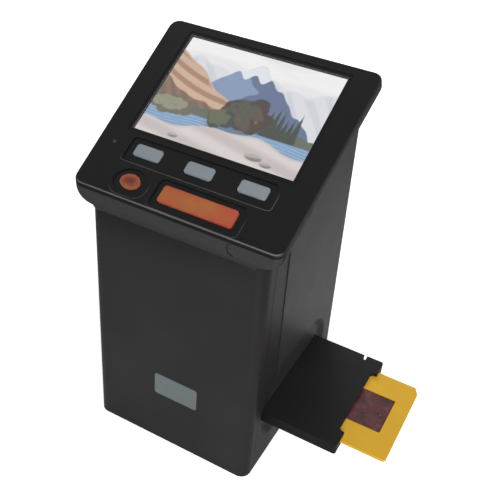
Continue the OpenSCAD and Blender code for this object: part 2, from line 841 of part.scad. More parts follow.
module light_box() {
    color([0.92, 0.92, 0.9]) placed() translate([0, tray_y, 0]) difference() {
        box(-box_w / 2, box_w / 2, -box_d / 2, box_d / 2, box_z, box_top);
        box(-box_w / 2 + box_wall, box_w / 2 - box_wall, -box_d / 2 + box_wall,
            box_d / 2 - box_wall, box_z + box_wall, box_top + 1);
        box(-4, 4, box_d / 2 - box_wall - 1, box_d / 2 + 1, led_z + board_t, led_z + board_t + 2);
        for (side = [-1, 1]) box(side * box_w / 2 - 1, side * box_w / 2 + 1, -14, 14,
                                 box_z + 6, box_z + 9);
    }
    color([0.92, 0.92, 0.9]) placed() translate([0, tray_y, 0])
        for (x = [-1, 1], y = [-1, 1])
            box(x * (box_w / 2 - box_wall - 1.5) - 1.6, x * (box_w / 2 - box_wall - 1.5) + 1.6,
                y * (box_d / 2 - box_wall - 1.5) - 1.6, y * (box_d / 2 - box_wall - 1.5) + 1.6,
                led_z + board_t + 0.1, box_top - diffuser_t - 0.1);
}

module led_board() {
    color([0.85, 0.86, 0.84]) placed() translate([0, tray_y, 0])
        plate(-box_w / 2 + box_wall + 0.3, box_w / 2 - box_wall - 0.3,
              -box_d / 2 + box_wall + 0.3, box_d / 2 - box_wall - 0.3,
              led_z, led_z + board_t, 1);
}

module leds() {
    color([1, 0.95, 0.7]) placed() translate([0, tray_y, led_z + board_t])
        for (x = [-16, 0, 16], y = [-12, 0, 12])
            box(x - 1.75, x + 1.75, y - 1.4, y + 1.4, 0.02, 0.85);
}

module diffuser() {
    color([0.95, 0.95, 0.95]) placed() translate([0, tray_y, 0])
        plate(-box_w / 2 + box_wall + 0.15, box_w / 2 - box_wall - 0.15,
              -box_d / 2 + box_wall + 0.15, box_d / 2 - box_wall - 0.15,
              box_top - diffuser_t, box_top - 0.02, 1);
}

// Flat lead from the LED board out of the box and up to the main board
module light_cable() {
    z0 = led_z + board_t + 0.6;
    rise_y = tray_y + gate_w / 2 + 0.6;
    end_y = board_back_y - board_t - 0.6;
    color([0.8, 0.8, 0.78]) placed()
        ribbon([[tray_y + box_d / 2 - 6, z0], [rise_y, z0], [rise_y, gate_top_z + 5],
                [end_y, board_low + 3], [end_y, board_low + 10]], 0.8, 5, 0);
}

// ---------- film channel ----------

module gate_window(z0, z1) {
    plate(-window_w / 2, window_w / 2, -window_h / 2, window_h / 2, z0, z1, 2);
}

module film_gate() {
    inner = tray_w / 2 + tray_gap;
    color([0.14, 0.14, 0.15]) placed() translate([0, tray_y, 0]) difference() {
        union() {
            box(-gate_half_x, gate_half_x, -gate_w / 2, gate_w / 2, gate_z - gate_t, gate_z);
            for (side = [0, 1]) mirror([0, side, 0])
                box(-gate_half_x, gate_half_x, inner, gate_w / 2, gate_z - 0.5, gate_top_z - 0.02);
        }
        gate_window(gate_z - gate_t - 1, gate_z + 1);
        box(detent_x - 5, detent_x + 5, inner - 1, gate_w / 2 + 1, gate_z + 0.6, gate_top_z - 1.2);
    }
}

module gate_cover() {
    color([0.14, 0.14, 0.15]) placed() translate([0, tray_y, 0]) difference() {
        union() {
            plate(-gate_half_x, gate_half_x, -gate_w / 2, gate_w / 2, gate_top_z,
                  gate_top_z + gate_t, 2);
            for (y = [-1, 1]) box(-gate_half_x + 3, gate_half_x - 3, y * 26 - 0.8, y * 26 + 0.8,
                                  gate_top_z, gate_top_z + gate_t + 1.4);
        }
        gate_window(gate_top_z - 1, gate_top_z + gate_t + 1);
    }
}

// Leaf spring behind the rear rail, its nose resting in the holder's notch
module detent_spring() {
    y0 = tray_y + gate_w / 2 + 0.05;
    tip = tray_y + tray_w / 2 - notch_d + 1.2;
    leaf = 0.3;
    color(metal) placed() {
        box(detent_x - 9, min(detent_x + 9, gate_half_x - 0.3), y0, y0 + leaf,
            gate_z + 1.4, gate_top_z - 2);
        translate([detent_x, 0, gate_z + 1.4]) linear_extrude(gate_top_z - gate_z - 3.4)
            polygon([[-0.9, y0], [-0.25, tip], [0.25, tip], [0.9, y0]]);
    }
}

// ---------- optics ----------

// Light tunnel over the film window, lens seat on top, posts for the sensor board
module optics_bracket() {
    seat_z = lens_z + 4;
    color([0.12, 0.12, 0.13]) placed() translate([0, tray_y, 0]) difference() {
        union() {
            box(-tunnel_w / 2, tunnel_w / 2, -tunnel_d / 2, tunnel_d / 2, tunnel_z, seat_z);
            cylinder_at(0, 0, seat_z - 0.5, lens_r + 3, 7);
            for (x = [-1, 1], y = [-1, 1])
                cylinder_at(x * post_off, y * post_off, seat_z - 12, post_r,
                            sensor_z - seat_z + 12 - 0.02);
            for (x = [-1, 1]) box(x * (tunnel_w / 2 + 2) - 2.5, x * (tunnel_w / 2 + 2) + 2.5,
                                  -tunnel_d / 2, tunnel_d / 2, tunnel_z, tunnel_z + 2);
        }
        box(-tunnel_w / 2 + tunnel_wall, tunnel_w / 2 - tunnel_wall,
            -tunnel_d / 2 + tunnel_wall, tunnel_d / 2 - tunnel_wall, tunnel_z - 1, seat_z - 3);
        cylinder_at(0, 0, seat_z - 5, lens_r + lens_clear, 14);
        for (x = [-1, 1], y = [-1, 1])
            cylinder_at(x * post_off, y * post_off, sensor_z - 8, 0.95, 9);
    }
}

module cylinder_at(x, y, z, r, h) {
    translate([x, y, z]) cylinder(r = r, h = h);
}

// Barrel with grip ridges above its seat and a retaining lip at each end
module lens_barrel() {
    ridge = 0.6;
    color([0.08, 0.08, 0.09]) placed() translate([0, tray_y, lens_z]) rotate_extrude()
        polygon(concat(
            [[5, 0], [lens_r, 0], [lens_r, 11.6]],
            [for (i = [0 : 3]) each [[lens_r + 1.2, 11.6 + i * 2], [lens_r + 1.2, 12.8 + i * 2],
                                     [lens_r + 1.2 - ridge, 12.8 + i * 2],
                                     [lens_r + 1.2 - ridge, 13.6 + i * 2]]],
            [[4.2, 19.6], [4.2, lens_h - 2], [6.2, lens_h - 2], [6.2, 2], [5, 1.4]]));
}

// Two elements, each turned from a spherical profile
module lens_elements() {
    color([0.7, 0.8, 0.9, 0.5]) placed() translate([0, tray_y, lens_z])
        for (z = [4.5, 13]) translate([0, 0, z]) rotate_extrude()
            polygon(concat([[0, -1.6]],
                [for (i = [0 : 8]) [6.1 * i / 8, -1.6 + 0.9 * pow(i / 8, 2)]],
                [for (i = [8 : -1 : 0]) [6.1 * i / 8, 1.6 - 0.9 * pow(i / 8, 2)]]));
}

module sensor_board() {
    half = sensor_size / 2;
    color(board_green) placed() translate([0, tray_y, sensor_z]) difference() {
        plate(-half, half, -half, half, 0, board_t, 1.5);
        for (x = [-1, 1], y = [-1, 1]) cylinder_at(x * post_off, y * post_off, -1, 1.2, 5);
    }
}

module image_sensor() {
    color([0.25, 0.28, 0.35]) placed() translate([0, tray_y, sensor_z])
        box(-5.5, 5.5, -5.5, 5.5, -1.6, -0.02);
}

module sensor_screws() {
    color(metal) placed() translate([0, tray_y, sensor_z + board_t + 0.02])
        for (x = [-1, 1], y = [-1, 1]) translate([x * post_off, y * post_off, 0])
            mirror([0, 0, 1]) screw(1.9, 1.2, 0.85, 7);
}

module sensor_ribbon() {
    z0 = sensor_z + board_t + 0.22;
    y1 = board_back_y - board_t - 0.22;
    color([0.8, 0.55, 0.2]) placed()
        ribbon([[tray_y + 9, z0], [y1 - 3, z0], [y1, z0 - 4], [y1, z0 - 14]], 0.3, 12, 0);
}

// ---------- main board ----------

module main_board() {
    color(board_green) placed() difference() {
        union() {
            box(-board_left, board_right, board_back_y - board_t, board_back_y,
                board_low, board_high);
            for (c = [[-14, 66, 14], [12, 92, 10]])
                box(c[0] - c[2] / 2, c[0] + c[2] / 2, board_back_y - board_t - 1.1,
                    board_back_y, c[1] - c[2] / 2, c[1] + c[2] / 2);
        }
        for (place = board_screw_places)
            translate([place[0], board_back_y - 4, place[1]]) rotate([-90, 0, 0])
                cylinder(r = 1.2, h = 8);
    }
}

module board_screws() {
    color(metal) placed() for (place = board_screw_places)
        translate([place[0], board_back_y - board_t - 0.02, place[1]]) rotate([-90, 0, 0])
            screw(2.1, 1.3, 0.85, board_screw_l);
}

// Metal shell of a socket, its mouth flush with the back wall
module socket_shell(x, w, h, r, tongue) {
    depth = back_y(port_z) - board_back_y - 0.35;
    translate([x, board_back_y + 0.02, port_z]) rotate([-90, 0, 0]) difference() {
        plate(-w / 2, w / 2, -h / 2, h / 2, 0, depth, r);
        difference() {
            plate(-w / 2 + 0.35, w / 2 - 0.35, -h / 2 + 0.35, h / 2 - 0.35, 1.2, depth + 1,
                  r - 0.3);
            box(-w / 2 + 1.6, w / 2 - 1.6, -tongue, tongue, 1, depth - 1);
        }
    }
}

module usb_socket() {
    color(metal) placed() socket_shell(usb_x, usb_w, usb_h, 1.5, 0.35);
}

module hdmi_socket() {
    color(metal) placed() socket_shell(hdmi_x, hdmi_w, hdmi_h, 0.7, 0.7);
}

module card_socket() {
    left = -half_w(card_z) + wall + 0.3;
    color(metal) placed() translate([0, board_back_y + 0.02, card_z]) difference() {
        box(left, left + card_len, 0, card_t, -card_w / 2, card_w / 2);
        box(left - 1, left + card_len - 2, 0.4, card_t - 0.4, -card_w / 2 + 1.6, card_w / 2 - 1.6);
    }
}

module power_switch() {
    color([0.12, 0.12, 0.13]) placed() translate([power_x, board_back_y + 0.02, power_z]) {
        box(-3, 3, 0, power_switch_h - 0.8, -3, 3);
        rotate([-90, 0, 0]) cylinder(r = 1.6, h = power_switch_h);
    }
}

module power_button() {
    outer = back_y(power_z) + 0.5;
    inner = back_y(power_z) - wall - 0.3;
    tip = board_back_y + 0.02 + power_switch_h + key_travel + 0.1;
    color([0.2, 0.2, 0.21]) placed() translate([power_x, 0, power_z]) rotate([-90, 0, 0]) {
        translate([0, 0, inner - 0.2]) cylinder(r = power_r, h = outer - inner - 0.1);
        translate([0, 0, inner - 0.2]) cylinder(r = power_r - 0.4, h = outer - inner + 0.2);
        translate([0, 0, inner - 1]) cylinder(r = power_r + 1, h = 1);
        translate([0, 0, tip]) cylinder(r = 1.5, h = inner - tip);
    }
}

// Lead from the display down to the top of the main board
module display_ribbon() {
    v0 = screen_v + screen_h - 10;
    n0 = frame_n - frame_t - 0.22;
    y1 = board_back_y - board_t - 0.22;
    start = [slope_y(v0 - 12, n0), slope_z(v0 - 12, n0)];
    bend = [slope_y(v0, n0 - 1), slope_z(v0, n0 - 1)];
    color([0.8, 0.55, 0.2]) placed()
        ribbon([start, bend, [y1, board_high + 6], [y1, board_high - 10]], 0.3, 16, -8);
}

// ---------- slide holder ----------

// Outline of the holder seen from above, without its window
module tray_outline() {
    half = tray_w / 2;
    difference() {
        polygon(rounded(-tray_left, tray_right, -half, half, 1.2));
        for (x = [notch_x, detent_x, detent_x - notch_pitch])
            translate([x - notch_w / 2, half - notch_d]) square([notch_w, notch_d + 1]);
        polygon(rounded(-17.6, 17.6, -11.8, 11.8, 1));
    }
}

// Shallow cut in the end of a shell, so that a thumb reaches the slide
module thumb_cut(depth, w) {
    polygon(rounded(tray_right - depth, tray_right + 5, -w / 2, w / 2, 2));
}

module tray_base() {
    color([0.13, 0.13, 0.14]) placed() translate([0, tray_y, 0]) difference() {
        translate([0, 0, tray_bottom]) linear_extrude(tray_split_z - tray_bottom - 0.01)
            difference() {
                tray_outline();
                thumb_cut(2.8, slide_lane - 8);
            }
        box(-tray_left - 1, tray_right + 1, -slide_lane / 2, slide_lane / 2,
            slide_mid_z - slide_t / 2 - slide_gap, tray_top);
        for (place = tray_screw_places()) {
            cylinder_at(place[0], place[1], tray_bottom - 1, 1.25, 3);
            cylinder_at(place[0], place[1], tray_bottom - 1, 0.7, 8);
        }
    }
}

module tray_cover() {
    color([0.13, 0.13, 0.14]) placed() translate([0, tray_y, 0]) difference() {
        translate([0, 0, tray_split_z]) linear_extrude(tray_top - tray_split_z) difference() {
            tray_outline();
            thumb_cut(2.8, slide_lane - 8);
        }
        box(-tray_left - 1, tray_right + 1, -slide_lane / 2, slide_lane / 2,
            tray_bottom, slide_mid_z + slide_t / 2 + slide_gap);
        for (place = tray_screw_places())
            cylinder_at(place[0], place[1], tray_bottom - 1, 0.65, tray_top - tray_bottom);
    }
}

function tray_screw_places() =
    [for (x = [-tray_left + 6, 20, tray_right - 5], side = [-1, 1])
        [x, side * (tray_w / 2 - 2.6)]];

module tray_screws() {
    color(metal) placed() translate([0, tray_y, 0])
        for (place = tray_screw_places()) translate([place[0], place[1], tray_bottom + 1.98])
            screw(1.15, 0.9, 0.6, 2.6);
}

module slide_mount() {
    x0 = slide_right - slide_w;
    half = slide_w / 2;
    mid = slide_right - slide_w / 2;
    color([0.93, 0.68, 0.15]) placed() translate([0, tray_y, slide_mid_z]) difference() {
        translate([0, 0, -slide_t / 2]) linear_extrude(slide_t) difference() {
            intersection() {
                polygon(rounded(x0, slide_right, -half, half, 1.5));
                polygon([[x0 - 1, -half - 1], [slide_right + 1, -half - 1],
                         [slide_right + 1, half - 5.5], [slide_right - 2.8, half + 1],
                         [x0 - 1, half + 1]]);
            }
            polygon(rounded(mid - picture_w / 2, mid + picture_w / 2, -picture_h / 2,
                            picture_h / 2, 0.8));
        }
        box(mid - picture_w / 2 - 1.2, mid + picture_w / 2 + 1.2, -picture_h / 2 - 1.2,
            picture_h / 2 + 1.2, -0.2, 0.2);
    }
}

module slide_film() {
    mid = slide_right - slide_w / 2;
    color([0.4, 0.18, 0.22]) placed() translate([0, tray_y, slide_mid_z])
        box(mid - picture_w / 2 - 1, mid + picture_w / 2 + 1, -picture_h / 2 - 1,
            picture_h / 2 + 1, -0.12, 0.12);
}

front_housing();
rear_housing();
base_cover();
rubber_feet();
base_screws();
front_badge();
top_bezel();
display_window();
display_panel();
display_frame();
display_screws();
display_ribbon();
indicator_lens();
key_board();
key_switches();
key_board_screws();
light_box();
led_board();
leds();
diffuser();
light_cable();
film_gate();
gate_cover();
detent_spring();
optics_bracket();
lens_barrel();
lens_elements();
sensor_board();
image_sensor();
sensor_screws();
sensor_ribbon();
main_board();
board_screws();
usb_socket();
hdmi_socket();
card_socket();
power_switch();
power_button();
key_left();
key_centre();
key_right();
home_button();
capture_button();
tray_base();
tray_cover();
tray_screws();
slide_mount();
slide_film();
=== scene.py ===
"""Looks of the desktop film and slide scanner: materials, picture on the display, light and camera."""

import json
import math

import bpy
import numpy as np
from mathutils import Matrix, Vector


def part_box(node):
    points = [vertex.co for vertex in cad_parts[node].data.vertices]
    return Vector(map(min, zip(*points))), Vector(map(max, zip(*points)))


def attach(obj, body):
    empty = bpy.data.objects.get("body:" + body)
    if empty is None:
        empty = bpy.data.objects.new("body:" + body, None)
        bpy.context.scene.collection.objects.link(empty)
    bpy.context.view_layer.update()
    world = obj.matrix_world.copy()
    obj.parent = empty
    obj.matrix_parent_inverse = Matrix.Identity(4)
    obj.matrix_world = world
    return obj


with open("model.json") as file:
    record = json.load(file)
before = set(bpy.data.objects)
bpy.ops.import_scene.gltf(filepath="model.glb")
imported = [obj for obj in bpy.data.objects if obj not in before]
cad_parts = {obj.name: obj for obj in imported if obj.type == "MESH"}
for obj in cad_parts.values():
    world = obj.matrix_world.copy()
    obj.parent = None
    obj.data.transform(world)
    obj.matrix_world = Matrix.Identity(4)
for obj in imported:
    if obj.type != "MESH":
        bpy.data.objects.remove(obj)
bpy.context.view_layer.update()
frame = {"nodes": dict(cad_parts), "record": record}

MM = 0.001                         # lengths are in metres, as in the frame


# ---------- measuring the frame ----------

TILT = math.radians(29.5)          # slope of the top plate
ACROSS = Vector((1, 0, 0))
UP_SLOPE = Vector((0, math.cos(TILT), math.sin(TILT)))
OFF_SLOPE = Vector((0, -math.sin(TILT), math.cos(TILT)))
SLOPE_AXES = np.array([ACROSS, UP_SLOPE, OFF_SLOPE])


def slope_box(node):
    """Lowest and highest (across, up the slope, out of it) of a CAD node."""
    points = np.array([v.co for v in frame["nodes"][node].data.vertices]) @ SLOPE_AXES.T
    return points.min(0), points.max(0)


def slope_point(across, up, off):
    """The place in the frame of a point given along the slope's axes."""
    return ACROSS * across + UP_SLOPE * up + OFF_SLOPE * off


def centre(corners):
    """Middle of a box from its lowest and highest corner."""
    low, high = corners
    return (low + high) / 2


# ---------- objects and nodes ----------

def add_object(name, data):
    made = bpy.data.objects.new(name, data)
    bpy.context.scene.collection.objects.link(made)
    return made


def add_node(tree, kind, **settings):
    made = tree.nodes.new("ShaderNode" + kind)
    for key, value in settings.items():
        setattr(made, key, value)
    return made


# ---------- materials in general ----------

MOTTLE_SCALE, SHEEN_SCALE = 38, 95                  # noise scales are per metre
VARIATION = 0.12
GRAIN_SIZE = 0.45 * MM
GRAIN_DEPTH = 0.05 * MM


def scaled(colour, factor):
    return tuple(c * factor for c in colour)


class Look:
    """A material under construction, with short calls for the nodes it uses."""

    def __init__(self, name):
        self.material = bpy.data.materials.new(name)
        self.material.use_nodes = True
        self.tree = self.material.node_tree
        self.tree.nodes.clear()
        self.out = self.node("OutputMaterial")
        self.coords = self.node("TexCoord").outputs["Object"]

    def node(self, kind, **settings):
        return add_node(self.tree, kind, **settings)

    def link(self, source, target):
        self.tree.links.new(source, target)

    # where on the piece

    def split(self, vector):
        parts = self.node("SeparateXYZ")
        self.link(vector, parts.inputs[0])
        return parts.outputs

    def facing(self):
        return self.node("NewGeometry").outputs["Normal"]

    def slope_frame(self, origin=(0, 0, 0), reach=(1, 1, 1)):
        """Coordinates across, up and off the slope from an origin, in shares of a reach."""
        made = self.node("Mapping", vector_type="TEXTURE")
        made.inputs["Location"].default_value = origin
        made.inputs["Rotation"].default_value = (TILT, 0, 0)
        made.inputs["Scale"].default_value = reach
        self.link(self.coords, made.inputs["Vector"])
        return made.outputs["Vector"]

    # sums

    def math(self, operation, *terms):
        """One math node; each term is a socket or a plain value."""
        made = self.node("Math", operation=operation)
        for socket, term in zip(made.inputs, terms):
            if isinstance(term, (int, float)):
                socket.default_value = term
            else:
                self.link(term, socket)
        return made.outputs[0]

    def product(self, first, *others):
        total = first
        for other in others:
            total = self.math("MULTIPLY", total, other)
        return total

    def vector(self, operation, first, second=None):
        made = self.node("VectorMath", operation=operation)
        self.link(first, made.inputs[0])
        if second is not None:
            made.inputs[1].default_value = second
        return made.outputs["Value" if operation in ("LENGTH", "DOT_PRODUCT") else "Vector"]

    def spread(self, source, low, high):
        """Maps 0 to 1 onto low to high."""
        made = self.node("MapRange")
        made.inputs["To Min"].default_value = low
        made.inputs["To Max"].default_value = high
        self.link(source, made.inputs["Value"])
        return made.outputs["Result"]

    def step(self, source, start, end):
        """0 before the start, 1 past the end; it falls where the start is the larger."""
        made = self.node("MapRange")
        made.inputs["From Min"].default_value = start
        made.inputs["From Max"].default_value = end
        self.link(source, made.inputs["Value"])
        return made.outputs["Result"]

    # patterns and colours

    def noise(self, scale, detail=3.0, roughness=0.55, stretch=None, offset=(0, 0, 0)):
        source = self.coords
        if stretch or any(offset):
            mapping = self.node("Mapping")
            mapping.inputs["Scale"].default_value = stretch or (1, 1, 1)
            mapping.inputs["Location"].default_value = offset
            self.link(source, mapping.inputs["Vector"])
            source = mapping.outputs["Vector"]
        made = self.node("TexNoise")
        made.inputs["Scale"].default_value = scale
        made.inputs["Detail"].default_value = detail
        made.inputs["Roughness"].default_value = roughness
        self.link(source, made.inputs["Vector"])
        return made.outputs["Fac"]

    def ramp(self, source, stops):
        made = self.node("ValToRGB")
        ramp = made.color_ramp
        ramp.interpolation = "EASE"
        while len(ramp.elements) < len(stops):
            ramp.elements.new(0.5)
        for element, (place, colour) in zip(ramp.elements, stops):
            element.position = place
            element.color = (*colour, 1)
        self.link(source, made.inputs["Fac"])
        return made.outputs["Color"]

    def blend(self, share, first, second):
        """From the first colour to the second; either is a socket or a plain colour. A Mix node has
        its colours at inputs 6 and 7 and at output 2."""
        made = self.node("Mix", data_type="RGBA")
        self.link(share, made.inputs[0])
        for socket, colour in ((made.inputs[6], first), (made.inputs[7], second)):
            if isinstance(colour, tuple):
                socket.default_value = (*colour, 1)
            else:
                self.link(colour, socket)
        return made.outputs[2]

    # the finish of a surface

    def bump(self, source, strength, depth):
        made = self.node("Bump")
        made.inputs["Strength"].default_value = strength
        made.inputs["Distance"].default_value = depth
        self.link(source, made.inputs["Height"])
        return made.outputs["Normal"]

    def mottled(self, colour, variation=VARIATION):
        """A colour with slight, wide clouds in it."""
        darker, lighter = scaled(colour, 1 - variation), scaled(colour, 1 + variation)
        return self.ramp(self.noise(MOTTLE_SCALE, detail=4), [(0.3, darker), (0.7, lighter)])

    def sheen(self, low, high):
        """Uneven roughness of a moulded face."""
        return self.spread(self.noise(SHEEN_SCALE, detail=5, offset=(3, 1, 2)), low, high)

    def grain(self, strength, size=GRAIN_SIZE):
        """Fine spark texture of a mould."""
        return self.bump(self.noise(1 / size, detail=2, roughness=0.6), strength, GRAIN_DEPTH)

    def surface(self, colour, roughness, normal=None, **fixed):
        """Finishes the material with a Principled shader."""
        made = self.node("BsdfPrincipled")
        for name, value in fixed.items():
            made.inputs[name.replace("_", " ")].default_value = value
        self.link(colour, made.inputs["Base Color"])
        self.link(roughness, made.inputs["Roughness"])
        if normal is not None:
            self.link(normal, made.inputs["Normal"])
        self.link(made.outputs["BSDF"], self.out.inputs["Surface"])
        return made


# ---------- moulded plastics ----------

MOULDED = {                        # by slot; the rest of each look is as moulded() has it
    "badge": dict(colour=(0.143, 0.169, 0.175), rough=0.45, grain=0.12, variation=0.05),
    "screen": dict(colour=(0.05, 0.05, 0.055), rough=0.3),
    "flex": dict(colour=(0.5, 0.24, 0.05), rough=0.35, grain=0.1),
    "flex_white": dict(colour=(0.6, 0.6, 0.56), grain=0.1),
    "indicator": dict(colour=(0.035, 0.037, 0.04), rough=0.2, grain=0.05),
    "switch_black": dict(colour=(0.02, 0.02, 0.02)),
    "white_plastic": dict(colour=(0.7, 0.7, 0.68), rough=0.55),
    "led": dict(colour=(0.8, 0.66, 0.2), rough=0.25, grain=0.1),
    "diffuser": dict(colour=(0.8, 0.8, 0.8), rough=0.6, grain=0.1),
    "inner_black": dict(colour=(0.02, 0.02, 0.02), rough=0.6),
    "sensor": dict(colour=(0.03, 0.03, 0.05), rough=0.15, grain=0.02),
    "rear_button": dict(colour=(0.016, 0.016, 0.017), rough=0.45),
    "key": dict(colour=(0.26, 0.292, 0.316), rough=0.4, grain=0.12, gloss=0.35, variation=0.06),
    "tray": dict(colour=(0.0073, 0.0073, 0.0078), rough=0.55, gloss=0.14),
    "mount": dict(colour=(0.74, 0.42, 0.022), rough=0.42, grain=0.12, gloss=0.35, variation=0.05),
}


def moulded(name, colour, rough=0.5, grain=0.35, gloss=0.3, variation=VARIATION):
    """Moulded plastic: fine grain, slight mottling and uneven sheen."""
    look = Look(name)
    tint = look.mottled(colour, variation)
    look.surface(tint, look.sheen(rough - 0.05, rough + 0.06), look.grain(grain),
                 Specular_IOR_Level=gloss)
    return look.material


# ---------- plastic of the housing ----------

HOUSING = (0.012, 0.012, 0.013)
HOUSING_ROUGHNESS = (0.4, 0.5)
HOUSING_GRAIN = 0.3
HOUSING_GLOSS = 0.25
SIDEWAYS = (0.35, 0.85)            # X of the normal, either way, from no side wall to a full one
FORWARD = (-0.3, -0.8)             # Y of the normal, from no front wall to a full one

# Painted shade: the front strip of each side wall is darker and less glossy, standing in for shade
# there.
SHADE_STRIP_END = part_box("front_badge")[0].y + 24 * MM
SHADE_STRIP = (SHADE_STRIP_END + 2 * MM, SHADE_STRIP_END - 3 * MM)       # the painted shade sets in between these depths
SHADE_STRIP_TONE, SHADE_STRIP_GLOSS = 0.75, 0.15

# Painted light: the front lip is a paler grey in coarse patches, standing in for the light that it
# catches.
LIP_LIGHT_PAINT = (0.032, 0.032, 0.033)
LIP_LIGHT_GRAIN = 0.8 * MM
LIP_LIGHT_PATCHES = (0.45, 1.3)          # least and most of the painted light on the lip
LIP_END = slope_box("top_bezel")[1][2] - 8.4 * MM   # off the slope, as the places below
LIP_LIGHT_FADE = (LIP_END, LIP_END + 3 * MM)

# Painted shade: a darker, less glossy strip of front wall just under the lip.
LIP_SHADE_FOOT = (LIP_END - 14 * MM, LIP_END - 2 * MM)
LIP_SHADE_TOP = (LIP_END, LIP_END - 1 * MM)
LIP_SHADE_TONE, LIP_SHADE_GLOSS = 0.4, 0.7
LIP_SHADE_ENDS = (1, 0.25)           # strength of the painted shade at the left and at the right end of the wall

SHEEN_HEIGHTS = (0.15, 0.06)              # painted sheen: the side walls gain gloss from the first height to the second
SHEEN_GAIN = (-0.45, 0.2)         # what it adds to the gloss at each, as a share


def housing_plastic(name):
    """Satin black shell with painted shade on a front strip of each side wall, painted light on a
    greyer, coarse-grained front lip, painted shade under the lip and painted sheen low on the sides."""
    look = Look(name)
    place = look.split(look.coords)
    off_slope = look.split(look.slope_frame())["Z"]
    normal = look.split(look.facing())
    sideways = look.step(look.math("ABSOLUTE", normal["X"]), *SIDEWAYS)
    forward = look.step(normal["Y"], *FORWARD)

    # painted shade on the front strip of each side wall
    shade_strip = look.product(sideways, look.step(place["Y"], *SHADE_STRIP))
    # painted light on the front lip, in coarse patches
    patches = look.spread(look.noise(1 / LIP_LIGHT_GRAIN, detail=2), *LIP_LIGHT_PATCHES)
    lip = look.product(forward, look.step(off_slope, *LIP_LIGHT_FADE), patches)
    # painted shade on the front wall under the lip, stronger to the left
    left, right = (corner.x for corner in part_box("front_housing"))
    strength = look.spread(look.step(place["X"], left, right), *LIP_SHADE_ENDS)
    under_lip = look.product(look.step(off_slope, *LIP_SHADE_FOOT), look.step(off_slope, *LIP_SHADE_TOP))
    lip_shade = look.product(forward, strength, under_lip)

    colour = look.blend(shade_strip, look.mottled(HOUSING), scaled(HOUSING, SHADE_STRIP_TONE))
    colour = look.blend(lip, colour, LIP_LIGHT_PAINT)
    colour = look.blend(lip_shade, colour, scaled(HOUSING, LIP_SHADE_TONE))
    made = look.surface(colour, look.sheen(*HOUSING_ROUGHNESS), look.grain(HOUSING_GRAIN))

    # painted sheen: the side walls reflect less high up and more low down
    height_sheen = look.spread(look.step(place["Z"], *SHEEN_HEIGHTS), *SHEEN_GAIN)
    side_sheen = look.math("MULTIPLY_ADD", sideways, height_sheen, 1.0)
    gloss = look.spread(shade_strip, HOUSING_GLOSS, SHADE_STRIP_GLOSS)
    lip_shade_gloss = look.spread(lip_shade, 1, LIP_SHADE_GLOSS)
    look.link(look.product(gloss, lip_shade_gloss, side_sheen), made.inputs["Specular IOR Level"])
    return look.material


# ---------- plastic of the top plate ----------

PLATE = (0.0055, 0.0055, 0.006)
PLATE_ROUGHNESS = (0.37, 0.48)
PLATE_GRAIN, PLATE_GRAIN_SIZE = 0.25, 0.35 * MM
PLATE_GLOSS = 0.13
# Painted highlights: light lines on the front rim and on the lower and right edges of the pockets,
# standing in for light caught by those edges.
HIGHLIGHT_PAINT = (0.135, 0.135, 0.14)
HIGHLIGHT_PATCHES = (0.35, 1.3)         # least and most of the painted highlights

POCKETS = (                        # keys in it; margins, corner radius and highlight line width in mm; strength
    (("key_left", "key_right"), (3.3, 2.85), 2, 0.16, 1.0),
    (("capture_button",), (2.9, 2.5), 2.4, 0.14, 0.6),
    (("home_button",), (3.2, 2.5), 5.6, 0.14, 0.7),
)
LINE_CORE = 0.4                    # share of a line's width at full strength
LINE_LEAN = (0.1, 0.6)             # lean to the lower right between which it sets in

RIM_FACING = 0.7 * OFF_SLOPE - 0.7 * UP_SLOPE       # the way that the rim's round edge faces
RIM_TURN = (0.8, 0.95)             # likeness to that way, from no rim to a full one
RIM_END = slope_box("capture_button")[0][1]
RIM_DROP = (0.34 * MM, 0.26 * MM)  # the rim's painted highlight sets in between these depths under the plate
RIM_STRENGTH = 1.15


def pocket_highlight(look, middle, reach, radius, width):
    """Painted highlight along the lower and right edge of a rounded pocket on the slope."""
    place = look.slope_frame(slope_point(*middle))
    flat = look.vector("MULTIPLY", look.vector("ABSOLUTE", place), (1, 1, 0))
    past = look.vector("SUBTRACT", flat, (reach[0] - radius, reach[1] - radius, 0))
    gap = look.vector("LENGTH", look.vector("MAXIMUM", past, (0, 0, 0)))
    away = look.math("ABSOLUTE", look.math("SUBTRACT", gap, radius))
    parts = look.split(place)
    lean = look.math("SUBTRACT", look.math("DIVIDE", parts["X"], 2 * reach[0]),
                     look.math("DIVIDE", parts["Y"], reach[1]))
    return look.product(look.step(away, width, LINE_CORE * width), look.step(lean, *LINE_LEAN))


def rim_highlight(look, top):
    """Painted highlight along the front rim of the plate."""
    place = look.split(look.slope_frame())
    turned = look.step(look.vector("DOT_PRODUCT", look.facing(), RIM_FACING), *RIM_TURN)
    low_down = look.step(place["Y"], RIM_END, RIM_END - 1 * MM)
    near_top = look.step(place["Z"], top - RIM_DROP[0], top - RIM_DROP[1])
    return look.product(turned, low_down, near_top, RIM_STRENGTH)


def plate_plastic(name):
    """Satin black plate with painted highlights along the edges of its pockets and its front rim."""
    look = Look(name)
    top = slope_box("top_bezel")[1][2]
    # painted highlights along the rim and the pockets
    highlights = rim_highlight(look, top)
    for nodes, margins, radius, width, strength in POCKETS:
        low, high = slope_box(nodes[0])[0], slope_box(nodes[-1])[1]
        across, up, _ = centre((low, high))
        reach = (high - low)[:2] / 2 + np.array(margins) * MM
        line = pocket_highlight(look, (across, up, top), reach, radius * MM, width * MM)
        highlights = look.math("MAXIMUM", highlights, look.product(line, strength))
    patchy = look.product(highlights, look.spread(look.noise(160), *HIGHLIGHT_PATCHES))
    look.surface(look.blend(patchy, look.mottled(PLATE), HIGHLIGHT_PAINT), look.sheen(*PLATE_ROUGHNESS),
                 look.grain(PLATE_GRAIN, PLATE_GRAIN_SIZE), Specular_IOR_Level=PLATE_GLOSS)
    return look.material


# ---------- rubber and orange keys ----------

